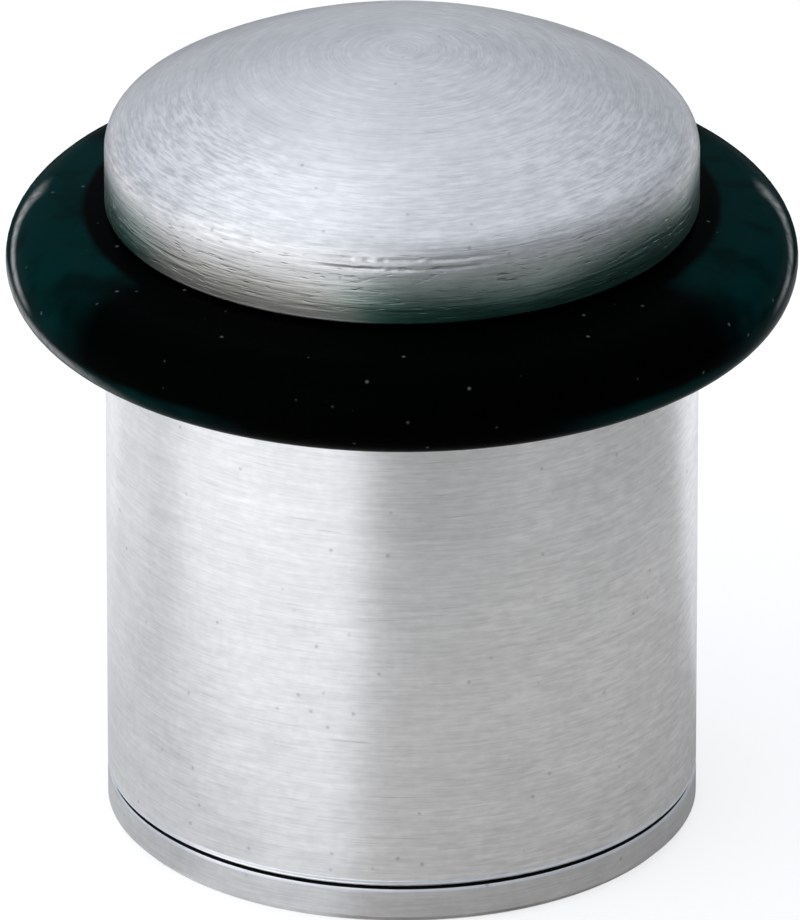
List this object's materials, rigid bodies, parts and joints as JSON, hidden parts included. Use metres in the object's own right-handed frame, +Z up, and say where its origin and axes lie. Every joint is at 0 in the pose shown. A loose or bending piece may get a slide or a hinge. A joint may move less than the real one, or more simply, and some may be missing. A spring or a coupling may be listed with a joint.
{
  "type": "cylindrical door stop",
  "caption": "Cylindrical floor door stop: satin steel post with a shallow domed head, black rubber buffer ring held in a groove under the head, and a flush screw-down base disc.",
  "frame": {"origin": "middle of the base's underside, on the axis of the post", "axes": "+Z up along the axis of the post; X and Y lie in the floor and carry no direction, because the part is round"},
  "size_m": [0.04, 0.04, 0.0417],
  "materials": {
    "satin_steel": "satin, turned and brushed round the axis",
    "black_rubber": "moulded, slightly glossy"
  },
  "bodies": {
    "root": {"base_disc": "satin_steel", "body": "satin_steel", "buffer_ring": "black_rubber"}
  },
  "joints": []
}
